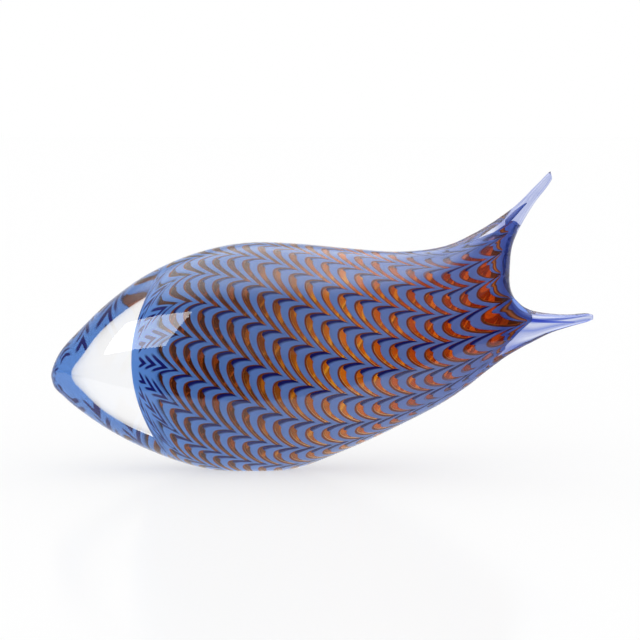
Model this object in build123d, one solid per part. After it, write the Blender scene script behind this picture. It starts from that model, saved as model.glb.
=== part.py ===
"""Fish of hand-blown glass: an amber bubble, blue threads combed over it, and a clear casing.

+X runs from nose to tail and +Z is up. The origin is at the centre of the ground foot.
Lengths are in millimetres and angles in degrees.
"""
from build123d import *
import math
import os

# Body
BODY_LENGTH = 317.5
BODY_HEIGHT = 162.4
BODY_WIDTH = 98.0
NOSE_REACH = 137.0
TAIL_RISE = 51.0
FOOT_DEPTH = 3.2

# Tail fins
CROTCH_RISE = 13.0
UPPER_FIN_REACH = 33.0
UPPER_FIN_CLIMB = 28.8
LOWER_FIN_REACH = 62.5
LOWER_FIN_CLIMB = 29.3
FIN_CORNER = 60.0

# Layers of glass, from the outside in
CASING_WALL = 6.5
THREAD_THICKNESS = 2.4
AMBER_WALL = 3.0
FIT_GAP = 0.5

# Colour inside the casing
NOSE_GLASS = 61.0
FRONT_ROUND = 42.0
AIR_END_GLASS = 30.0
AIR_END_ROUND = 40.0
FIN_CORE_SHARE = 0.42

# Blue threads and the comb. The cap and the pitches are shares of the colour's length, the pull is a
# share of the pitch, and the drag on both sides of a comb line fades over a share of the row.
THREAD_COUNT = 20
CAP_SHARE = 0.0585
FIRST_PITCH_SHARE = 0.0359
LAST_PITCH_SHARE = 0.0507
BLUE_SHARE = 0.52
COMB_ROWS = 16
COMB_PULL_SHARE = 1.5
DRAG_ABOVE_SHARE = 0.3
DRAG_BELOW_SHARE = 0.08
COMB_FADE_POWER = 20
TWIST = -106.0
TWIST_POWER = 1.25
COMB_PHASE = 3.9
ROW_STEP_SHARES = [0.0, 0.12, 0.3, 0.55, 0.8, 0.93]
CAP_STEP_SHARES = [0.03, 0.14, 0.32, 0.55, 0.78, 1.0]

# Outer form, from the nose to the fork. The rows give the distance from the nose as a share of the
# body's length, the middle line's climb as a share of the tail's rise, and half the height and half
# the width as shares of the largest.
BODY_SHARES = [
    (0.000, -0.235, 0.000, 0.000),
    (0.008, -0.231, 0.103, 0.143),
    (0.025, -0.190, 0.198, 0.255),
    (0.061, -0.163, 0.336, 0.408),
    (0.132, -0.102, 0.564, 0.633),
    (0.220, -0.047, 0.771, 0.816),
    (0.326, -0.020, 0.930, 0.949),
    (0.431, 0.000, 1.000, 1.000),
    (0.537, 0.027, 0.977, 0.980),
    (0.661, 0.137, 0.865, 0.857),
    (0.767, 0.269, 0.755, 0.684),
    (0.872, 0.482, 0.672, 0.480),
    (0.960, 0.808, 0.635, 0.306),
    (1.000, 1.000, 0.634, 0.245),
]
SECTIONS_PER_ROW = 2

# Fins, from root to tip. The rows give the outer edge's place along the reach and the climb, the
# inner edge's place along the reach and on the way from the crotch to the tip, and half the width
# as a share of the root's.
UPPER_FIN_SHARES = [
    (0.210, 0.149, 0.103, 0.139, 0.84),
    (0.348, 0.288, 0.212, 0.307, 0.66),
    (0.515, 0.469, 0.409, 0.496, 0.50),
    (0.712, 0.680, 0.650, 0.686, 0.36),
    (0.880, 0.878, 0.885, 0.861, 0.25),
    (0.970, 0.997, 1.000, 0.963, 0.12),
]
LOWER_FIN_SHARES = [
    (0.088, 0.092, 0.046, 0.327, 0.88),
    (0.160, 0.201, 0.093, 0.565, 0.78),
    (0.248, 0.321, 0.184, 0.762, 0.66),
    (0.360, 0.461, 0.336, 0.881, 0.52),
    (0.528, 0.635, 0.528, 0.940, 0.38),
    (0.728, 0.771, 0.728, 0.955, 0.29),
    (0.920, 0.884, 0.920, 0.926, 0.22),
    (0.997, 0.959, 0.997, 0.970, 0.10),
]
UPPER_CORE_ROWS = 3
LOWER_CORE_ROWS = 6

HALF_TURN = 180.0
FULL_TURN = 360.0

# Places that follow from the sizes above
NOSE_X = -NOSE_REACH
FORK_X = BODY_LENGTH - NOSE_REACH
MIDDLE_Z = BODY_HEIGHT / 2 - FOOT_DEPTH
COLOUR_FRONT_X = NOSE_X + NOSE_GLASS
COLOUR_LENGTH = FORK_X - COLOUR_FRONT_X
CAP_LENGTH = CAP_SHARE * COLOUR_LENGTH
FIRST_PITCH = FIRST_PITCH_SHARE * COLOUR_LENGTH
LAST_PITCH = LAST_PITCH_SHARE * COLOUR_LENGTH
AIR_END_X = FORK_X - AIR_END_GLASS
THREAD_TOP = CASING_WALL + FIT_GAP
THREAD_BED = THREAD_TOP + THREAD_THICKNESS
AMBER_TOP = THREAD_BED + FIT_GAP
AIR_TOP = AMBER_TOP + AMBER_WALL


def body_row(row):
    """Distance from the nose, middle height, half height and half width at a place in the table."""
    last = len(BODY_SHARES) - 1
    start = min(int(row), last - 1)
    part = row - start
    before = BODY_SHARES[max(start - 1, 0)]
    here = BODY_SHARES[start]
    there = BODY_SHARES[start + 1]
    after = BODY_SHARES[min(start + 2, last)]
    shares = [
        here_share
        + (there_share - before_share) * part / 2
        + (2 * before_share - 5 * here_share + 4 * there_share - after_share) * part**2 / 2
        + (3 * here_share - before_share - 3 * there_share + after_share) * part**3 / 2
        for before_share, here_share, there_share, after_share in zip(before, here, there, after)
    ]
    along, climb, height, width = shares
    return (
        along * BODY_LENGTH,
        MIDDLE_Z + climb * TAIL_RISE,
        height * BODY_HEIGHT / 2,
        width * BODY_WIDTH / 2,
    )


def body_at(x):
    """Middle height, half height and half width of the outer form at x."""
    low = 0.0
    high = float(len(BODY_SHARES) - 1)
    for _ in range(50):
        row = (low + high) / 2
        if body_row(row)[0] < x - NOSE_X:
            low = row
        else:
            high = row
    return body_row(row)[1:]


def inner(radius, depth):
    """Radius of a layer that lies this deep in the glass. Thin places have thin layers."""
    return radius**2 / (radius + depth)


def layer_front(depth):
    """Place of the rounded front of the colour layer at a depth."""
    return COLOUR_FRONT_X + depth - CASING_WALL


def layer_at(x, depth):
    """Middle height, half height and half width at x of the colour layer at a depth."""
    middle, half_height, half_width = body_at(x)
    way = min((x - layer_front(depth)) / FRONT_ROUND, 1.0)
    swell = math.sqrt(1 - (1 - way) ** 2)
    return middle, inner(half_height, depth) * swell, inner(half_width, depth) * swell


def oval(plane, half_width, half_height, corner=0):
    """Ellipse as two arcs that meet at its sides, or this angle further round towards its foot."""
    sizes = (half_width, half_height)
    far = EllipticalCenterArc((0, 0), *sizes, -corner, arc_size=HALF_TURN + 2 * corner)
    near = EllipticalCenterArc((0, 0), *sizes, HALF_TURN + corner, arc_size=HALF_TURN - 2 * corner)
    return Wire([plane * far, plane * near])


def upright(x, z):
    """Plane square to the body's length."""
    return Plane(origin=(x, 0, z), x_dir=(0, 1, 0), z_dir=(1, 0, 0))


def make_body():
    """Outer form of the body, as a loft from the nose tip to the fork."""
    steps = (len(BODY_SHARES) - 1) * SECTIONS_PER_ROW
    sections = [Vertex(NOSE_X, 0, body_row(0)[1])]
    for step in range(1, steps + 1):
        along, middle, half_height, half_width = body_row(step / SECTIONS_PER_ROW)
        sections.append(oval(upright(NOSE_X + along, middle), half_width, half_height))
    return Solid.make_loft(sections)


def layer_places(front, end):
    """Places of a colour layer's sections: close together round its front, then evenly spaced."""
    round_steps = 8
    turns = [math.pi / 2 * step / round_steps for step in range(1, round_steps + 1)]
    places = [front + FRONT_ROUND * (1 - math.cos(turn)) for turn in turns]
    even_steps = math.ceil((end - places[-1]) / (FRONT_ROUND / 3))
    spacing = (end - places[-1]) / even_steps
    return places + [places[-1] + spacing * step for step in range(1, even_steps + 1)]


def make_layer(depth, end):
    """Solid inside one colour layer, from its rounded front to a flat end."""
    front = layer_front(depth)
    sections = [Vertex(front, 0, body_at(front)[0])]
    for x in layer_places(front, end):
        middle, half_height, half_width = layer_at(x, depth)
        sections.append(oval(upright(x, middle), half_width, half_height))
    return Solid.make_loft(sections)


def make_air():
    """Air space of the bubble, rounded at both ends."""
    front = layer_front(AIR_TOP)
    sections = [Vertex(front, 0, body_at(front)[0])]
    for x in layer_places(front, AIR_END_X)[:-1]:
        way = min((AIR_END_X - x) / AIR_END_ROUND, 1.0)
        close = math.sqrt(1 - (1 - way) ** 2)
        middle, half_height, half_width = layer_at(x, AIR_TOP)
        sections.append(oval(upright(x, middle), half_width * close, half_height * close))
    sections.append(Vertex(AIR_END_X, 0, body_at(AIR_END_X)[0]))
    return Solid.make_loft(sections)


def fin_root(side):
    """Root of a fin: the part of the body's end beyond the crotch, above (1) or below it (-1)."""
    middle, half_height, half_width = body_at(FORK_X)
    plane = Plane(origin=(FORK_X, 0, middle), x_dir=(0, 1, 0), z_dir=(side, 0, 0))
    start = math.degrees(math.asin(side * CROTCH_RISE / half_height))
    arc = EllipticalCenterArc((0, 0), half_width, half_height, start, arc_size=HALF_TURN - 2 * start)
    return Wire([plane * arc, plane * Line(arc @ 1, arc @ 0)])


def fin_sections(side, reach, climb, shares):
    """Plane, half width and half height of each section of a fin."""
    middle, half_height, half_width = body_at(FORK_X)
    crotch_z = middle + CROTCH_RISE
    edge_z = middle + side * half_height
    tip_z = edge_z + climb
    sections = []
    for outer_along, outer_climb, inner_along, inner_climb, width in shares:
        outer_edge = Vector(FORK_X + outer_along * reach, 0, edge_z + outer_climb * climb)
        inner_edge = Vector(FORK_X + inner_along * reach, 0, crotch_z + inner_climb * (tip_z - crotch_z))
        across = (outer_edge - inner_edge) / 2
        square = Vector(0, 1, 0).cross(across)
        plane = Plane(origin=(outer_edge + inner_edge) / 2, x_dir=(0, 1, 0), z_dir=square)
        sections.append((plane, width * half_width, across.length))
    return sections


def make_fin(side, reach, climb, shares):
    """Outer form of one fin."""
    sections = [fin_root(side)]
    for plane, half_width, half_height in fin_sections(side, reach, climb, shares):
        sections.append(oval(plane, half_width, half_height, FIN_CORNER))
    return Solid.make_loft(sections)


def make_core(side, reach, climb, shares, gap):
    """Colour drawn out to a point inside one fin, with a gap round it."""
    middle, half_height, half_width = body_at(FORK_X)
    root_z = middle + side * (half_height + side * CROTCH_RISE) / 2
    root_half = (half_height - side * CROTCH_RISE) / 2
    rows = [(upright(FORK_X, root_z), half_width, root_half)] + fin_sections(side, reach, climb, shares)
    sections = [
        oval(plane, FIN_CORE_SHARE * half_width + gap, FIN_CORE_SHARE * half_height + gap)
        for plane, half_width, half_height in rows[:-1]
    ]
    return Solid.make_loft(sections + [Vertex(*rows[-1][0].origin)])


def drag(part_of_row, spread_share):
    """Share of the comb's drag that is left at this distance from a comb line."""
    end = math.exp(-1 / spread_share)
    return (math.exp(-part_of_row / spread_share) - end) / (1 - end)


def comb_pull(along, part_of_row):
    """How far the comb drags the blue towards the tail at a place along the colour and in a row."""
    way = along / COLOUR_LENGTH
    pitch = FIRST_PITCH + (LAST_PITCH - FIRST_PITCH) * way
    strength = min(along / CAP_LENGTH, 1.0) * (1 - way**COMB_FADE_POWER)
    drags = drag(part_of_row, DRAG_ABOVE_SHARE) + drag(1 - part_of_row, DRAG_BELOW_SHARE)
    return COMB_PULL_SHARE * pitch * strength * drags


def thread_ring(along, depth):
    """Points round the bubble, combed at this distance from the colour's front and twisted."""
    row_angle = FULL_TURN / COMB_ROWS
    points = []
    for row in range(COMB_ROWS):
        for part in ROW_STEP_SHARES:
            pulled = along + comb_pull(along, part)
            twist = TWIST * (pulled / COLOUR_LENGTH) ** TWIST_POWER
            turn = math.radians(COMB_PHASE + (row + part) * row_angle + twist)
            x = layer_front(depth) + pulled
            middle, half_height, half_width = layer_at(x, depth)
            points.append((x, -half_width * math.cos(turn), middle + half_height * math.sin(turn)))
    return points


def make_turn(profile):
    """One turn of blue. The profile's corners are distances from the colour's front and depths."""
    rings = [thread_ring(along, depth) for along, depth in profile]
    faces = []
    for ring, other in zip(rings, rings[1:] + rings[:1]):
        for here, across, beyond, ahead in zip(ring, other, other[1:] + other[:1], ring[1:] + ring[:1]):
            faces.append(Face(Wire.make_polygon([here, across, beyond])))
            faces.append(Face(Wire.make_polygon([here, beyond, ahead])))
    return Solid(Shell(faces))


def make_cap():
    """The blue over the bubble's front, with a combed rim."""
    steps = [CAP_LENGTH * share for share in CAP_STEP_SHARES]
    top = [(along, THREAD_TOP) for along in steps]
    bed = [(along, THREAD_BED) for along in reversed(steps)]
    return make_turn(top + bed)


def make_thread(number):
    """The thread of that number after the cap, ridged along its middle. The pitch grows on the way."""
    growth = (LAST_PITCH - FIRST_PITCH) / THREAD_COUNT
    pitch = FIRST_PITCH + growth * number
    end = CAP_LENGTH + number * FIRST_PITCH + growth * number**2 / 2 + pitch
    start = end - BLUE_SHARE * pitch
    return make_turn([(start, THREAD_BED), ((start + end) / 2, THREAD_TOP), (end, THREAD_BED)])


upper_fin = (1, UPPER_FIN_REACH, UPPER_FIN_CLIMB, UPPER_FIN_SHARES)
lower_fin = (-1, LOWER_FIN_REACH, LOWER_FIN_CLIMB, LOWER_FIN_SHARES)
upper_core = (1, UPPER_FIN_REACH, UPPER_FIN_CLIMB, UPPER_FIN_SHARES[:UPPER_CORE_ROWS])
lower_core = (-1, LOWER_FIN_REACH, LOWER_FIN_CLIMB, LOWER_FIN_SHARES[:LOWER_CORE_ROWS])
ground_off = Pos(0, 0, -BODY_HEIGHT / 2) * Box(BODY_LENGTH * 2, BODY_WIDTH * 2, BODY_HEIGHT)

nodes = {
    "clear_casing": make_body() - make_layer(CASING_WALL, FORK_X) - ground_off,
    "upper_tail_fin": make_fin(*upper_fin) - make_core(*upper_core, FIT_GAP),
    "lower_tail_fin": make_fin(*lower_fin) - make_core(*lower_core, FIT_GAP),
    "upper_fin_core": make_core(*upper_core, 0),
    "lower_fin_core": make_core(*lower_core, 0),
    "amber_bubble": make_layer(AMBER_TOP, FORK_X) - make_air(),
    "blue_cap": make_cap(),
}
for number in range(THREAD_COUNT):
    nodes[f"blue_thread_{number + 1:02d}"] = make_thread(number)

os.makedirs("parts", exist_ok=True)
for name, solid in nodes.items():
    solid.label = name
    export_step(solid, f"parts/{name}.step")
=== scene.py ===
import bmesh
import bpy
import math
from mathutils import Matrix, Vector


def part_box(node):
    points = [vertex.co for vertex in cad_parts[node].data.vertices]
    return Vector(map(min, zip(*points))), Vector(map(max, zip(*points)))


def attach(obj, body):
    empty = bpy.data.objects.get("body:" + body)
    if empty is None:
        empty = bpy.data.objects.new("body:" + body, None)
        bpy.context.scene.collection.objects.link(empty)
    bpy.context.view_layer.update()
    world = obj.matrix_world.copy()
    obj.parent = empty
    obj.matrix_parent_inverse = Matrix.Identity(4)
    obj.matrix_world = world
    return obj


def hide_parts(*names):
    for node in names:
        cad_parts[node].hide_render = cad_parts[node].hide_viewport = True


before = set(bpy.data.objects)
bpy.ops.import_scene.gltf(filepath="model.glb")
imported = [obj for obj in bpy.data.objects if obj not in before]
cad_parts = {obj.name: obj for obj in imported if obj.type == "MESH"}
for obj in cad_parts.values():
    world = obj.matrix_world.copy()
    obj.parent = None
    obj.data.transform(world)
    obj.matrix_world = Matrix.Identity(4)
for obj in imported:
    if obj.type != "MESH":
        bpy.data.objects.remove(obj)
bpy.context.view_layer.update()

# One millimetre, in the scene's metres
MM = 0.001

# The photograph and its camera
PHOTO_SIDE = 640
PHOTO_PIXEL = 0.7 * MM
PHOTO_FOOT_X = 246
PHOTO_FLOOR_Y = 470
CAMERA_DISTANCE = 2000 * MM
CAMERA_ELEVATION = 5.0
SENSOR_WIDTH = 36.0

# Places of the frame
casing_low, casing_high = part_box("clear_casing")
NOSE_X = casing_low[0]
FORK_X = casing_high[0]
BODY_LENGTH = FORK_X - NOSE_X
BODY_WIDTH = 97.8 * MM
BODY_HEIGHT = 162.4 * MM
MIDDLE_Z = 78.0 * MM
TAIL_RISE = 51.0 * MM
CROTCH_RISE = 13.0 * MM
UPPER_FIN_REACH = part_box("upper_tail_fin")[1][0] - FORK_X
LOWER_FIN_REACH = 62.5 * MM
UPPER_FIN_CLIMB = 28.8 * MM
LOWER_FIN_CLIMB = 29.3 * MM

# Depths of the layers of glass. The underside of a thread starts between its top and its bed.
CASING_WALL = 6.5 * MM
THREAD_TOP = 7.0 * MM
UNDERSIDE_DEPTH = 8.5 * MM
THREAD_BED = 9.4 * MM
AMBER_TOP = 9.9 * MM

# Colour inside the casing
COLOUR_FRONT_X = NOSE_X + 61.0 * MM
COLOUR_LENGTH = FORK_X - COLOUR_FRONT_X
COLOUR_END_GAP = 1.0 * MM
FRONT_ROUND = 42.0 * MM
CAP_LENGTH = 15.0 * MM

# Blue threads, and the second lobe of the last one with a warm line along its middle, which glows with
# painted light
THREAD_COUNT = 20
FIRST_PITCH = 9.2 * MM
LAST_PITCH = 13.0 * MM
BLUE_SHARE = 0.60
RIM_SHARE = 0.9
LAST_THREAD_LOBES = 2
LAST_LOBE_START = 11.0 * MM
LAST_LOBE_END = 0.8 * MM
LINE_SHARE = 0.5
LINE_SPREAD = 0.1

# The comb: its rows, how it drags the blue, where the blue spreads over the gap as a flank coloured navy as
# painted shade, and the twist of the rows
COMB_ROWS = 16
COMB_PULL_SHARE = 1.2
COMB_CREST_SHARE = 0.56
COMB_LOW_POWER = 2.0
COMB_HIGH_POWER = 2.4
COMB_FADE_POWER = 30
SHADED_FLANK_START_SHARE = 0.67
SHADED_FLANK_END_SHARE = 0.75
CAP_STROKE = 2.2
TWIST = math.radians(-106.0)
TWIST_POWER = 1.25
COMB_PHASE = math.radians(3.9)

# Outer form, as in the solids but with a slimmer nose: distance from the nose, climb of the middle
# line, half the height and half the width, all as shares.
BODY_SHARES = [
    (0.000, -0.235, 0.000, 0.000),
    (0.008, -0.231, 0.103, 0.120),
    (0.025, -0.190, 0.198, 0.225),
    (0.061, -0.163, 0.336, 0.390),
    (0.132, -0.102, 0.564, 0.633),
    (0.220, -0.047, 0.771, 0.816),
    (0.326, -0.020, 0.930, 0.949),
    (0.431, 0.000, 1.000, 1.000),
    (0.537, 0.027, 0.977, 0.980),
    (0.661, 0.137, 0.865, 0.857),
    (0.767, 0.269, 0.755, 0.684),
    (0.872, 0.482, 0.672, 0.480),
    (0.960, 0.808, 0.635, 0.306),
    (1.000, 1.000, 0.634, 0.245),
]
# Fins: outer edge along the reach and the climb, inner edge along the reach and from the crotch to
# the tip, and half the width.
FIN_ROOT_SHARES = (0.0, 0.0, 0.0, 0.0, 1.0)
UPPER_FIN_SHARES = [
    (0.210, 0.170, 0.103, 0.139, 0.74),
    (0.348, 0.312, 0.212, 0.307, 0.59),
    (0.515, 0.495, 0.409, 0.490, 0.47),
    (0.712, 0.715, 0.650, 0.676, 0.36),
    (0.880, 0.915, 0.885, 0.825, 0.30),
    (0.965, 0.993, 1.000, 0.910, 0.24),
]
LOWER_FIN_SHARES = [
    (0.088, 0.105, 0.046, 0.327, 0.88),
    (0.160, 0.205, 0.093, 0.565, 0.78),
    (0.248, 0.321, 0.184, 0.762, 0.66),
    (0.360, 0.455, 0.336, 0.871, 0.52),
    (0.528, 0.630, 0.528, 0.925, 0.38),
    (0.728, 0.771, 0.728, 0.940, 0.29),
    (0.920, 0.884, 0.920, 0.915, 0.24),
    (0.997, 0.945, 0.997, 0.950, 0.18),
]
# Rings of the cap: distance from its middle, and how navy it is
CAP_SHADE_SHARES = [
    (0.0001, 0.0), (0.004, 0.0), (0.02, 0.0), (0.06, 0.0), (0.12, 0.0), (0.22, 0.0), (0.27, 0.9),
    (0.31, 0.9), (0.36, 0.0), (0.45, 0.0), (0.50, 0.9), (0.56, 0.9), (0.62, 0.0), (0.72, 0.0),
    (0.78, 0.9), (0.85, 0.9), (0.92, 0.0), (1.00, 0.0),
]
# Blue inside the fins: along, up, half the height and half the width, in millimetres
UPPER_CORE = [
    (182.0, 172.0, 2.2, 1.6),
    (187.0, 177.3, 1.8, 1.4),
    (191.0, 181.5, 1.2, 1.0),
    (196.0, 186.5, 0.3, 0.3),
]
LOWER_CORE = [
    (194.0, 105.5, 1.3, 1.3),
    (202.0, 104.2, 1.0, 1.0),
    (214.0, 103.6, 0.7, 0.7),
    (230.0, 104.0, 0.2, 0.2),
]

# How the colour is drawn out before the fork, at its upper edge and below its middle
DRAW_X = 130.0 * MM
CROTCH_SHARE = 0.29
DRAW_SHRINK_SHARE = 0.1
DRAW_BACK = 3.5 * MM
UPPER_DRAW = 10.0 * MM
UPPER_DRAW_RISE = 5.0 * MM
LOWER_DRAW = 20.0 * MM
LOWER_DRAW_SHARE = -0.5
LOWER_DRAW_SPREAD = 0.32
LOWER_DRAW_NARROW = 0.3

# Where the warm colours give way to blue along the back and the belly of the tail
WASHED_X = 100.0 * MM
WASHED_LENGTH = 35.0 * MM
WASHED_POWER = 8

# The fork: angle in degrees of a fin's inner corners, smoothing, and the web in the crotch
ROOT_CORNER = 75
FIN_CORNER = 60
CORNER_ROWS = 2
CROTCH_POINTS = 9
FORK_BLEND = 18.0 * MM
FORK_SMOOTHING = 30
SMOOTHING_FACTOR = 0.5
CROTCH_WEB = 2.5 * MM
CROTCH_REACH = 12.0 * MM

# Lavender in the clear glass: round the fork's edge, where it is painted dark glints, along the back, and
# in streaks along the fins, whose edges are darkened with painted shade
FORK_EDGE = 6.0 * MM
FORK_PAINTED_GLINT_SHADE = 0.7
BACK_EDGE = 80.0 * MM
BACK_TURN = 90.0
BACK_EDGE_TURN = 18.0
BACK_EDGE_SHADE = 0.6
STREAKS = 13
STREAK_ROWS = 3
STREAK_ROOT_SHARE = 0.6
UNEVEN_SHARE = 0.4
UNEVEN_WAVES = 3
UNEVEN_PHASE = 1
UPPER_STREAK_SHADE = 0.8
LOWER_STREAK_SHADE = 1.4
FIN_ROOT_SHADE = 0.6
SHADED_EDGE_POINTS = 1.6

# The attribute for shades, and those of the blue: above 0 it is navy, at 0 blue, and below 0 it is brown
# along the rim of a thread, then warm on its underside. Each pair is where a colour sets in. The navy is
# painted shade on the threads' flanks, and a pattern of strokes on the cap.
SHADE = "shade"
NAVY_STROKE_AND_PAINTED_SHADE_LIMITS = (0.05, 0.35)
RIM_SHADES = (-0.3, -0.5)
WARM_SHADES = (-0.6, -0.9)
RIM_SHADE = -0.5
UNDERSIDE_SHADE = -1.0

# Materials
GLASS_IOR = 1.56
GLASS_TINT_LENGTH = 50 * MM
AMBER_HAZE_SHARE = 0.34
BLUE_ROUGHNESS = 0.6
BLUE_GLOW_SHARE = 0.12
# Painted glow: the warm undersides of the threads emit light, as if lit from inside the bubble
UNDERSIDE_PAINTED_GLOW = 0.38
FLOOR_GLOSS_SHARE = 0.12
FLOOR_ROUGHNESS = 0.15

# Floor and world. Reflections see less light in front of the fish, and a glare high above it.
FLOOR_SIZE = 20
FLOOR_WHITE_SHARE = 0.55
FLOOR_FRONT_Y = (-0.15, -0.14)
FLOOR_FRONT_LEVEL = 0.05
WORLD_FRONT_Y = (0.8, 0.1)
WORLD_FRONT_LEVEL = 0.3
GLARE_Z = (0.6, 0.9)
GLARE_LEVEL = 3.2

# Fineness of the meshes
BODY_SIDES = 96
CORE_SIDES = 24
FIN_STEPS = 4
RINGS_PER_ROW = 5
FRONT_STEPS = 16
BUBBLE_STEPS = 60
ROW_STEPS = 20
PROFILE_POINTS = 12
HALVINGS = 22
MERGE_DISTANCE = 0.01 * MM
ROW_PARTS = [(1 - math.cos(math.pi * step / ROW_STEPS)) / 2 for step in range(ROW_STEPS)]


def clamp(value):
    """The value, kept between 0 and 1."""
    return min(max(value, 0.0), 1.0)


def between(before, here, there, after, part):
    """Smooth value between two rows of a table."""
    return (
        here
        + (there - before) * part / 2
        + (2 * before - 5 * here + 4 * there - after) * part**2 / 2
        + (3 * here - before - 3 * there + after) * part**3 / 2
    )


def table_row(rows, place):
    """Smooth row of a table at a place that may lie between two of its rows."""
    last = len(rows) - 1
    start = min(int(place), last - 1)
    around = [rows[min(max(start + step, 0), last)] for step in (-1, 0, 1, 2)]
    return [between(*shares, place - start) for shares in zip(*around)]


def body_row(place):
    """Distance from the nose, middle height, half height and half width."""
    along, climb, height, width = table_row(BODY_SHARES, place)
    return (
        along * BODY_LENGTH,
        MIDDLE_Z + climb * TAIL_RISE,
        height * BODY_HEIGHT / 2,
        width * BODY_WIDTH / 2,
    )


def body_at(x):
    """Middle height, half height and half width of the outer form at x."""
    low = 0.0
    high = float(len(BODY_SHARES) - 1)
    for _ in range(HALVINGS):
        place = (low + high) / 2
        if body_row(place)[0] < x - NOSE_X:
            low = place
        else:
            high = place
    return body_row(place)[1:]


def inner(radius, depth):
    """Radius of a layer that lies this deep in the glass."""
    return radius**2 / (radius + depth)


def layer_front(depth):
    """Place of the rounded front of the colour layer at a depth."""
    return COLOUR_FRONT_X + depth - CASING_WALL


def layer_at(x, depth):
    """Middle height, half height and half width at x of the colour layer at a depth."""
    middle, half_height, half_width = body_at(min(x, FORK_X))
    way = clamp((x - layer_front(depth)) / FRONT_ROUND)
    swell = math.sqrt(1 - (1 - way) ** 2)
    return middle, inner(half_height, depth) * swell, inner(half_width, depth) * swell


def colour_point(x, turn, depth):
    """Point of the colour layer at a depth. Before the fork the layer is drawn out into both fins."""
    middle, half_height, half_width = layer_at(x, depth)
    height = math.sin(turn)
    draw = max((x - DRAW_X) / (FORK_X - DRAW_X), 0.0) ** 2
    upper = max((height - CROTCH_SHARE) / (1 - CROTCH_SHARE), 0.0) ** 2
    lower = math.exp(-(((height - LOWER_DRAW_SHARE) / LOWER_DRAW_SPREAD) ** 2))
    half_height *= 1 - DRAW_SHRINK_SHARE * draw * max(height, 0.0)
    half_width *= 1 - LOWER_DRAW_NARROW * draw * lower
    return Vector((
        x + (UPPER_DRAW * upper + LOWER_DRAW * lower - DRAW_BACK) * draw,
        -half_width * math.cos(turn),
        middle + half_height * height + UPPER_DRAW_RISE * upper * draw,
    ))


def blue_wash(x, turn):
    """How far the warm colours give way to blue, along the back and the belly of the tail."""
    return clamp((x - WASHED_X) / WASHED_LENGTH) * abs(math.sin(turn)) ** WASHED_POWER


def oval_ring(x, middle, half_height, half_width, sides=BODY_SIDES):
    """Points of an upright ellipse. The first is at the side that faces -Y, the next are above it."""
    turns = [2 * math.pi * number / sides for number in range(sides)]
    return [
        Vector((x, -half_width * math.cos(turn), middle + half_height * math.sin(turn))) for turn in turns
    ]


def start_piece(name):
    """An empty mesh object in edit mode."""
    bpy.ops.object.select_all(action="DESELECT")
    mesh = bpy.data.meshes.new(name)
    piece = bpy.data.objects.new(name, mesh)
    bpy.context.collection.objects.link(piece)
    bpy.context.view_layer.objects.active = piece
    piece.select_set(True)
    bpy.ops.object.mode_set(mode="EDIT")
    bpy.ops.mesh.select_mode(type="VERT")
    bmesh.from_edit_mesh(mesh).verts.layers.float.new(SHADE)
    return piece


def lay_selected(piece, ring, values=None):
    """Moves the selected points onto a ring, in their order, and gives them their shade values."""
    mesh = bmesh.from_edit_mesh(piece.data)
    shade = mesh.verts.layers.float.get(SHADE)
    chosen = [vert for vert in mesh.verts if vert.select]
    for number, vert in enumerate(chosen):
        vert.co = ring[number]
        if values:
            vert[shade] = values[number]
    bmesh.update_edit_mesh(piece.data)


def draw_out(piece, rings, close_start=False, close_end=False, values=None):
    """Adds a circle, lays it on the first ring and extrudes it from ring to ring."""
    values = values or [None] * len(rings)
    bpy.ops.mesh.select_all(action="DESELECT")
    bpy.ops.mesh.primitive_circle_add(vertices=len(rings[0]))
    lay_selected(piece, rings[0], values[0])
    if close_start:
        bpy.ops.mesh.edge_face_add()
    for ring, shades in zip(rings[1:], values[1:]):
        bpy.ops.mesh.extrude_edges_move()
        lay_selected(piece, ring, shades)
    if close_end:
        bpy.ops.mesh.edge_face_add()


def finish_piece(piece, material, slot_name, *nodes):
    """Merges doubles, turns the faces outwards, shades them smooth and puts the piece on its body."""
    bpy.ops.mesh.select_all(action="SELECT")
    bpy.ops.mesh.remove_doubles(threshold=MERGE_DISTANCE)
    bpy.ops.mesh.normals_make_consistent(inside=False)
    bpy.ops.object.mode_set(mode="OBJECT")
    bpy.ops.object.shade_smooth()
    piece.data.materials.append(material)
    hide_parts(*nodes)
    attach(piece, "root")
    return piece


def colour(hex_code):
    """Linear colour of an sRGB hex value."""
    parts = [int(hex_code[start:start + 2], 16) / 255 for start in (1, 3, 5)]
    linear = [part / 12.92 if part <= 0.04045 else ((part + 0.055) / 1.055) ** 2.4 for part in parts]
    return (*linear, 1.0)


def add_node(tree, kind, inputs=None, **settings):
    """Adds a node with its settings. An input is a value, or an output to link."""
    node = tree.nodes.new(kind)
    for name, value in settings.items():
        setattr(node, name, value)
    for name, value in (inputs or {}).items():
        if isinstance(value, bpy.types.NodeSocket):
            tree.links.new(value, node.inputs[name])
        else:
            node.inputs[name].default_value = value
    return node


def add_place(tree):
    """X, Y and Z in the object's own frame."""
    place = add_node(tree, "ShaderNodeTexCoord")
    return add_node(tree, "ShaderNodeSeparateXYZ", {"Vector": place.outputs["Object"]}).outputs


def add_shade(tree):
    """The shade that the mesh carries."""
    return add_node(tree, "ShaderNodeAttribute", attribute_name=SHADE).outputs["Fac"]


def add_range(tree, value, limits, low=0.0, high=1.0, **settings):
    """A number that goes from low to high while the value goes from the first limit to the second."""
    return add_node(tree, "ShaderNodeMapRange", {
        "Value": value,
        "From Min": limits[0],
        "From Max": limits[1],
        "To Min": low,
        "To Max": high,
    }, **settings).outputs[0]


def add_math(tree, operation, *values, **settings):
    """The result of an operation on two or three numbers."""
    inputs = dict(enumerate(values))
    return add_node(tree, "ShaderNodeMath", inputs, operation=operation, **settings).outputs[0]


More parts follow.
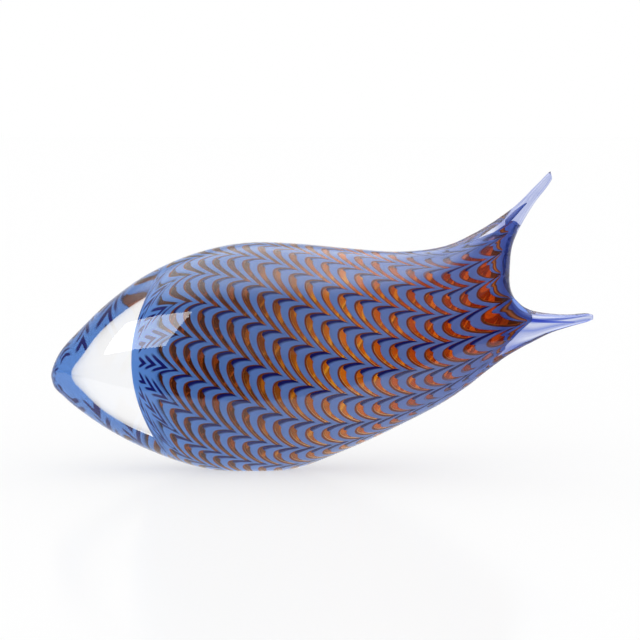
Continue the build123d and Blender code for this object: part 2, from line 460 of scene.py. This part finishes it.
def add_ramp(tree, way, first, middle, last):
    """A colour that changes along the fish, from three pairs of a place and a hex value."""
    ramp = add_node(tree, "ShaderNodeValToRGB", {"Fac": way})
    stops = ramp.color_ramp.elements
    stops[0].position = first[0]
    stops[0].color = colour(first[1])
    stops[1].position = last[0]
    stops[1].color = colour(last[1])
    stops.new(middle[0]).color = colour(middle[1])
    return ramp.outputs["Color"]


def add_mix(tree, share, first, second):
    """A mix of two colours."""
    inputs = {"Factor": share, "A": first, "B": second}
    return add_node(tree, "ShaderNodeMix", inputs, data_type="RGBA").outputs["Result"]


def add_blend(tree, share, first, second):
    """A mix of two shaders, from their nodes."""
    inputs = {0: share, 1: first.outputs[0], 2: second.outputs[0]}
    return add_node(tree, "ShaderNodeMixShader", inputs)


def make_material(name, build):
    """A material whose last shader node is built by a function of its node tree."""
    material = bpy.data.materials.new(name)
    material.use_nodes = True
    tree = material.node_tree
    tree.nodes.clear()
    add_node(tree, "ShaderNodeOutputMaterial", {"Surface": build(tree).outputs[0]})
    return material


def clear_glass(tree):
    """Soda-lime glass, fire polished: a hard clean gloss, colourless up to the lavender of the tail."""
    way = add_range(tree, add_place(tree)["X"], (FORK_X - GLASS_TINT_LENGTH, FORK_X))
    # The shade attribute darkens the lavender towards blue; round the fork's edge and along the fins' edges
    # this is painted glints and painted shade
    lavender = add_mix(tree, add_shade(tree), colour("#E0E6FB"), colour("#5E72CC"))
    return add_node(tree, "ShaderNodeBsdfPrincipled", {
        "Base Color": add_mix(tree, way, colour("#FFFFFF"), lavender),
        "Roughness": 0.0,
        "IOR": GLASS_IOR,
        "Transmission Weight": 1.0,
    })


def amber_glass(tree):
    """Amber glass fused to the casing: it tints what is seen through it, with a warm haze of its own.

    It goes from brown through gold to orange, and is washed blue along the back and belly of the tail.
    """
    way = add_range(tree, add_place(tree)["X"], (COLOUR_FRONT_X, FORK_X))
    washed = add_shade(tree)
    clear = add_ramp(tree, way, (0.25, "#C88448"), (0.55, "#FFD468"), (0.95, "#FA923A"))
    milky = add_ramp(tree, way, (0.2, "#824418"), (0.5, "#F2A632"), (0.95, "#D06818"))
    tint = add_node(tree, "ShaderNodeBsdfTransparent", {
        "Color": add_mix(tree, washed, clear, colour("#CFDAFF")),
    })
    haze = add_node(tree, "ShaderNodeBsdfDiffuse", {
        "Color": add_mix(tree, washed, milky, colour("#A3B6F0")),
    })
    return add_blend(tree, AMBER_HAZE_SHARE, tint, haze)


def blue_glass(tree):
    """Opaque blue glass under the casing: milky blue, and navy painted shade on the flanks that the comb
    dragged over, where the thread above shades the gap.

    The amber that clings to it browns its rim and warms its underside, which the far side shows. The
    underside also glows with painted light.
    """
    way = add_range(tree, add_place(tree)["X"], (COLOUR_FRONT_X, FORK_X))
    shade = add_shade(tree)
    milky = add_ramp(tree, way, (0.1, "#72AAFF"), (0.4, "#7EA8F8"), (0.9, "#88A6F6"))
    warm = add_ramp(tree, way, (0.2, "#A87444"), (0.55, "#FFE2A0"), (0.9, "#CC6A2C"))
    under = add_range(tree, shade, WARM_SHADES)
    # Navy: painted shade on the threads' flanks, and the pattern of strokes on the cap
    navy = add_mix(tree, add_range(tree, shade, NAVY_STROKE_AND_PAINTED_SHADE_LIMITS), milky, colour("#1E1F7E"))
    rim = add_mix(tree, add_range(tree, shade, RIM_SHADES), navy, colour("#9A4A1A"))
    tone = add_mix(tree, under, rim, warm)
    # The warm underside emits light: painted glow, as if lit from inside the bubble
    body = add_node(tree, "ShaderNodeBsdfPrincipled", {
        "Base Color": tone,
        "Roughness": BLUE_ROUGHNESS,
        "Specular IOR Level": 0.0,
        "Emission Color": warm,
        "Emission Strength": add_math(tree, "MULTIPLY", under, UNDERSIDE_PAINTED_GLOW),
    })
    glow = add_node(tree, "ShaderNodeBsdfTranslucent", {"Color": tone})
    return add_blend(tree, BLUE_GLOW_SHARE, body, glow)


def thin_blue_glass(tree):
    """Blue drawn out thin in the clear glass: a pale tint."""
    return add_node(tree, "ShaderNodeBsdfTransparent", {"Color": colour("#AEBDF0")})


def lacquered_board(tree):
    """White lacquered board: pale, with a faint soft mirror that keeps the shadow of the fish."""
    paint = add_node(tree, "ShaderNodeBsdfDiffuse", {"Color": colour("#FEFEFE")})
    lacquer = add_node(tree, "ShaderNodeBsdfGlossy", {
        "Color": colour("#FFFFFF"),
        "Roughness": FLOOR_ROUGHNESS,
    })
    board = add_blend(tree, FLOOR_GLOSS_SHARE, paint, lacquer)
    path = add_node(tree, "ShaderNodeLightPath").outputs
    seen = add_math(tree, "MULTIPLY", path["Is Camera Ray"], FLOOR_WHITE_SHARE)
    share = add_math(tree, "MAXIMUM", seen, path["Is Glossy Ray"])
    front = add_range(tree, add_place(tree)["Y"], FLOOR_FRONT_Y, low=FLOOR_FRONT_LEVEL)
    white = add_node(tree, "ShaderNodeEmission", {
        "Color": colour("#FFFFFF"),
        "Strength": add_math(tree, "MAXIMUM", front, path["Is Camera Ray"]),
    })
    return add_blend(tree, share, board, white)


def fin_rings(side, reach, climb, shares, crotch_ring):
    """Rings of a fin, from the part of the body's last ring beyond the crotch to the tip."""
    middle, half_height, half_width = body_at(FORK_X)
    crotch_z = middle + CROTCH_RISE
    edge_z = middle + side * half_height
    tip_z = edge_z + climb
    rows = [FIN_ROOT_SHARES] + shares
    rings = [crotch_ring]
    arc_points = len(crotch_ring) - CROTCH_POINTS
    for step in range(1, (len(rows) - 1) * FIN_STEPS + 1):
        outer_along, outer_climb, inner_along, inner_climb, width = table_row(rows, step / FIN_STEPS)
        outer_edge = Vector((FORK_X + outer_along * reach, 0, edge_z + outer_climb * climb))
        inner_edge = Vector((FORK_X + inner_along * reach, 0, crotch_z + inner_climb * (tip_z - crotch_z)))
        centre = (outer_edge + inner_edge) / 2
        across = (outer_edge - inner_edge) / 2
        fade = min(step / (FIN_STEPS * CORNER_ROWS), 1.0)
        corner = math.radians(ROOT_CORNER * (1 - fade) + FIN_CORNER * fade)
        arc = math.pi + 2 * corner
        turns = [-corner + arc * number / (arc_points - 1) for number in range(arc_points)]
        rest = math.pi - 2 * corner
        turns += [
            math.pi + corner + rest * number / (CROTCH_POINTS + 1) for number in range(1, CROTCH_POINTS + 1)
        ]
        rings.append([
            centre + across * math.sin(turn) - Vector((0, width * half_width * math.cos(turn), 0))
            for turn in turns
        ])
    return rings


def fin_streaks(rings, deepest):
    """Shades of a fin's rings: streaks that run along it and start at its root, and painted shade along its
    outer and inner edges.
    """
    values = []
    outer = (len(rings[0]) - CROTCH_POINTS - 1) / 2
    inside = len(rings[0]) - (CROTCH_POINTS + 1) / 2
    for number, ring in enumerate(rings):
        way = clamp(number / (STREAK_ROWS * FIN_STEPS))
        strength = deepest * min(STREAK_ROOT_SHARE + way, 1.0)
        root = FIN_ROOT_SHADE * (1 - way)
        shades = []
        for point in range(len(ring)):
            turn = 2 * math.pi * point / len(ring)
            uneven = 1 - UNEVEN_SHARE + UNEVEN_SHARE * math.sin(UNEVEN_WAVES * turn + UNEVEN_PHASE)
            streak = (1 + math.sin(STREAKS * turn)) / 2 * uneven
            # Painted shade: the fin's outer and inner edges are darkened
            edge = math.exp(-(((point - outer) / SHADED_EDGE_POINTS) ** 2))
            edge += math.exp(-(((point - inside) / SHADED_EDGE_POINTS) ** 2))
            shades.append(root + (1 - root) * strength * max(streak, edge))
        values.append(shades)
    values[-1] = [1.0] * len(rings[-1])
    return values


def body_streaks(ring):
    """Shades of a ring of the body: along the back before the fork, and round the fork's edge, where they
    are painted dark glints.
    """
    before_fork = FORK_X - ring[0].x
    fork = max(1 - before_fork / FORK_EDGE, 0.0)
    back = clamp(1 - before_fork / BACK_EDGE)
    shades = []
    for point in range(BODY_SIDES):
        turn = 360 * point / BODY_SIDES
        ridge = math.exp(-(((turn - BACK_TURN) / BACK_EDGE_TURN) ** 2))
        # Round the fork's edge the tint is painted dark glints
        shades.append(max(FORK_PAINTED_GLINT_SHADE * fork, BACK_EDGE_SHADE * back * ridge))
    return shades


def make_glass(material):
    """The clear casing with its fins, as one skin of glass."""
    piece = start_piece("clear_glass_fish")
    rings = []
    for step in range(1, (len(BODY_SHARES) - 1) * RINGS_PER_ROW + 1):
        along, middle, half_height, half_width = body_row(step / RINGS_PER_ROW)
        rings.append(oval_ring(NOSE_X + along, middle, half_height, half_width))
    last = rings[-1]
    draw_out(piece, rings, close_start=True, values=[body_streaks(ring) for ring in rings])
    middle, half_height, half_width = body_at(FORK_X)
    corner = round(math.asin(CROTCH_RISE / half_height) / (2 * math.pi) * BODY_SIDES)
    far_corner = BODY_SIDES // 2 - corner
    upper = last[corner:far_corner + 1]
    near, far = upper[0], upper[-1]
    lower = [last[number % BODY_SIDES] for number in range(BODY_SIDES + corner, far_corner - 1, -1)]
    crotch = [far.lerp(near, number / (CROTCH_POINTS + 1)) for number in range(1, CROTCH_POINTS + 1)]
    upper_rings = fin_rings(1, UPPER_FIN_REACH, UPPER_FIN_CLIMB, UPPER_FIN_SHARES, upper + crotch)
    lower_rings = fin_rings(-1, LOWER_FIN_REACH, LOWER_FIN_CLIMB, LOWER_FIN_SHARES, lower + crotch)
    draw_out(piece, upper_rings, close_end=True, values=fin_streaks(upper_rings, UPPER_STREAK_SHADE))
    draw_out(piece, lower_rings, close_end=True, values=fin_streaks(lower_rings, LOWER_STREAK_SHADE))
    bpy.ops.mesh.select_all(action="SELECT")
    bpy.ops.mesh.remove_doubles(threshold=MERGE_DISTANCE)
    mesh = bmesh.from_edit_mesh(piece.data)
    for vert in mesh.verts:
        vert.select = abs(vert.co.x - FORK_X) < FORK_BLEND
    mesh.select_flush_mode()
    bmesh.update_edit_mesh(piece.data)
    bpy.ops.mesh.vertices_smooth(factor=SMOOTHING_FACTOR, repeat=FORK_SMOOTHING)
    finish_piece(piece, material, "clear_glass", "clear_casing", "upper_tail_fin", "lower_tail_fin")
    crotch_z = middle + CROTCH_RISE
    for vert in piece.data.vertices:
        away = ((vert.co.x - FORK_X) / CROTCH_REACH) ** 2 + ((vert.co.z - crotch_z) / CROTCH_REACH) ** 2
        vert.co.x += CROTCH_WEB * math.exp(-away)
        vert.co.z = max(vert.co.z, 0.0)
    return piece


def make_amber(material):
    """The amber bubble under the threads, closed along the fork."""
    piece = start_piece("amber_glass_bubble")
    quarter = [math.pi / 2 * step / FRONT_STEPS for step in range(1, FRONT_STEPS + 1)]
    places = [layer_front(AMBER_TOP) + FRONT_ROUND * (1 - math.cos(turn)) for turn in quarter]
    round_end = places[-1]
    places += [
        round_end + (FORK_X - round_end) * step / BUBBLE_STEPS for step in range(1, BUBBLE_STEPS + 1)
    ]
    turns = [2 * math.pi * number / BODY_SIDES for number in range(BODY_SIDES)]
    rings = [[colour_point(x, turn, AMBER_TOP) for turn in turns] for x in places]
    values = [[blue_wash(x, turn) for turn in turns] for x in places]
    values[-1] = [1.0] * BODY_SIDES
    draw_out(piece, rings, close_start=True, values=values)
    bpy.ops.mesh.fill_grid(span=1, offset=0)
    return finish_piece(piece, material, "amber_glass", "amber_bubble")


def drag(part):
    """Share of the comb's drag this far into a row. It is none at the crest of the festoon."""
    if part < COMB_CREST_SHARE:
        return (1 - part / COMB_CREST_SHARE) ** COMB_LOW_POWER
    return ((part - COMB_CREST_SHARE) / (1 - COMB_CREST_SHARE)) ** COMB_HIGH_POWER


def comb_pull(along, part):
    """How far the comb drags the blue towards the tail at a place along the colour and in a row."""
    way = along / COLOUR_LENGTH
    pitch = FIRST_PITCH + (LAST_PITCH - FIRST_PITCH) * way
    strength = min(along / CAP_LENGTH, 1.0) * (1 - way**COMB_FADE_POWER)
    return COMB_PULL_SHARE * pitch * strength * drag(part)


def thread_ring(start, end, across, depth, flank):
    """Closed line round the bubble, at a place across a thread, combed and twisted, and its shades."""
    row_angle = 2 * math.pi / COMB_ROWS
    last_lobe = end > COLOUR_LENGTH - LAST_LOBE_START
    # The warm line takes the underside's warm colour and its painted glow
    warm_line = depth < UNDERSIDE_DEPTH and abs(across - LINE_SHARE) < LINE_SPREAD
    points = []
    shades = []
    for row in range(COMB_ROWS):
        for part in ROW_PARTS:
            rise = clamp((part - SHADED_FLANK_START_SHARE) / (SHADED_FLANK_END_SHARE - SHADED_FLANK_START_SHARE))
            begin = start - flank * rise**2 * (3 - 2 * rise)
            along = begin + across * (end - begin)
            pulled = min(along + comb_pull(along, part), COLOUR_LENGTH - COLOUR_END_GAP)
            x = layer_front(depth) + pulled
            twist = TWIST * (pulled / COLOUR_LENGTH) ** TWIST_POWER
            turn = COMB_PHASE + (row + part) * row_angle + twist
            points.append(colour_point(x, turn, depth))
            washed = blue_wash(x, turn)
            if last_lobe:
                shades.append(UNDERSIDE_SHADE if warm_line else 0.0)
            elif depth > UNDERSIDE_DEPTH:
                shades.append(UNDERSIDE_SHADE + washed)
            elif across > RIM_SHARE:
                shades.append(RIM_SHADE * (1 - washed))
            else:
                shades.append(max((start - along) / flank, 0.0) if flank else 0.0)
    return points, shades


def draw_turn(piece, corners, ring_shades=None):
    """One turn of blue, from the corners of its profile. Shades of rings are laid on in strokes."""
    turned = [thread_ring(*corner) for corner in corners]
    rings = [points for points, _ in turned]
    values = [shades for _, shades in turned]
    if ring_shades:
        strokes = [min(CAP_STROKE * drag(part), 1.0) for part in ROW_PARTS] * COMB_ROWS
        values = [[shade * stroke for stroke in strokes] for shade in ring_shades]
    draw_out(piece, rings + rings[:1], values=values + values[:1])


def thread_corners(number):
    """Corners of the lens-shaped section of the thread of that number after the cap."""
    growth = (LAST_PITCH - FIRST_PITCH) / THREAD_COUNT
    pitch = FIRST_PITCH + growth * number
    end = CAP_LENGTH + number * FIRST_PITCH + growth * number**2 / 2 + pitch
    start = end - BLUE_SHARE * pitch
    if number == THREAD_COUNT:
        start = COLOUR_LENGTH - LAST_LOBE_START
        end = COLOUR_LENGTH - LAST_LOBE_END
    flank = (1 - BLUE_SHARE) * pitch
    corners = []
    for point in range(PROFILE_POINTS):
        turn = 2 * math.pi * point / PROFILE_POINTS
        across = (1 - math.cos(turn)) / 2
        depth = (THREAD_TOP + THREAD_BED) / 2 - (THREAD_BED - THREAD_TOP) / 2 * math.sin(turn)
        corners.append((start, end, across, depth, flank))
    return corners


def make_thread(number, material):
    """The thread of that number. The last one has a second lobe before the fork."""
    name = f"blue_thread_{number + 1:02d}"
    piece = start_piece(name + "_glass")
    lobes = LAST_THREAD_LOBES if number == THREAD_COUNT - 1 else 1
    for lobe in range(lobes):
        draw_turn(piece, thread_corners(number + lobe))
    return finish_piece(piece, material, "blue_glass", name)


def make_cap(material):
    """The blue over the bubble's front, with a combed rim and navy strokes."""
    top = [(0.0, CAP_LENGTH, share, THREAD_TOP, 0.0) for share, _ in CAP_SHADE_SHARES]
    bed = [(0.0, CAP_LENGTH, share, THREAD_BED, 0.0) for share, _ in reversed(CAP_SHADE_SHARES)]
    shades = [shade for _, shade in CAP_SHADE_SHARES]
    piece = start_piece("blue_cap_glass")
    draw_turn(piece, top + bed, shades + [0.0] * len(shades))
    return finish_piece(piece, material, "blue_glass", "blue_cap")


def make_core(name, path, material):
    """Colour drawn out to a point inside a fin. The path gives along, up, half height, half width."""
    piece = start_piece(name + "_glass")
    rings = []
    for step in range((len(path) - 1) * FIN_STEPS + 1):
        along, up, half_height, half_width = table_row(path, step / FIN_STEPS)
        rings.append(oval_ring(along * MM, up * MM, half_height * MM, half_width * MM, CORE_SIDES))
    draw_out(piece, rings, close_start=True, close_end=True)
    return finish_piece(piece, material, "blue_glass", name)


def make_camera():
    """Long lens, a little above the fish, square to its side."""
    middle = PHOTO_SIDE / 2
    target = Vector(((middle - PHOTO_FOOT_X) * PHOTO_PIXEL, 0, (PHOTO_FLOOR_Y - middle) * PHOTO_PIXEL))
    tilt = math.radians(CAMERA_ELEVATION)
    bpy.ops.object.camera_add(
        location=target + CAMERA_DISTANCE * Vector((0, -math.cos(tilt), math.sin(tilt))),
        rotation=(math.pi / 2 - tilt, 0, 0),
    )
    camera = bpy.context.object
    camera.data.sensor_width = SENSOR_WIDTH
    camera.data.lens = SENSOR_WIDTH * CAMERA_DISTANCE / (PHOTO_SIDE * PHOTO_PIXEL)
    bpy.context.scene.camera = camera


def make_floor(material):
    """Plain pale floor."""
    bpy.ops.object.select_all(action="DESELECT")
    bpy.ops.mesh.primitive_plane_add(size=FLOOR_SIZE)
    floor = bpy.context.object
    floor.name = "floor"
    floor.data.materials.append(material)


def make_world():
    """White all round. Clean reflections see it darker in front of the fish, with a glare above."""
    world = bpy.data.worlds.new("white_studio")
    bpy.context.scene.world = world
    world.use_nodes = True
    tree = world.node_tree
    tree.nodes.clear()
    path = add_node(tree, "ShaderNodeLightPath").outputs
    clean = add_math(tree, "SUBTRACT", path["Is Glossy Ray"], path["Diffuse Depth"], use_clamp=True)
    sides = add_place(tree)
    dark = add_math(tree, "MULTIPLY", clean, add_range(tree, sides["Y"], WORLD_FRONT_Y))
    level = add_range(tree, dark, (0.0, 1.0), low=1.0, high=WORLD_FRONT_LEVEL)
    above = add_range(tree, sides["Z"], GLARE_Z, high=GLARE_LEVEL, interpolation_type="SMOOTHSTEP")
    background = add_node(tree, "ShaderNodeBackground", {
        "Color": colour("#FFFFFF"),
        "Strength": add_math(tree, "MULTIPLY_ADD", clean, above, level),
    })
    add_node(tree, "ShaderNodeOutputWorld", {"Surface": background.outputs["Background"]})


def make_softbox(name, place, target, width, height, power):
    """A lamp that is only seen as a reflection on the glass."""
    bpy.ops.object.light_add(type="AREA", location=place)
    lamp = bpy.context.object
    lamp.name = name
    lamp.rotation_euler = (Vector(target) - Vector(place)).to_track_quat("-Z", "Y").to_euler()
    lamp.data.shape = "RECTANGLE"
    lamp.data.size = width
    lamp.data.size_y = height
    lamp.data.energy = power
    lamp.visible_camera = False
    lamp.visible_diffuse = False
    lamp.visible_transmission = False


make_camera()
make_floor(make_material("white_lacquered_board", lacquered_board))
make_world()
make_softbox(
    "head_softbox",
    place=(-0.75, -0.78, 0.5),
    target=(-0.07, -0.03, 0.1),
    width=0.6,
    height=0.5,
    power=6.0,
)
make_glass(make_material("clear_soda_lime_glass", clear_glass))
make_amber(make_material("amber_glass", amber_glass))
blue = make_material("opaque_blue_glass", blue_glass)
make_cap(blue)
for thread_number in range(THREAD_COUNT):
    make_thread(thread_number, blue)
make_core("upper_fin_core", UPPER_CORE, blue)
make_core("lower_fin_core", LOWER_CORE, make_material("thin_blue_glass", thin_blue_glass))

bpy.context.scene.view_settings.view_transform = "Standard"
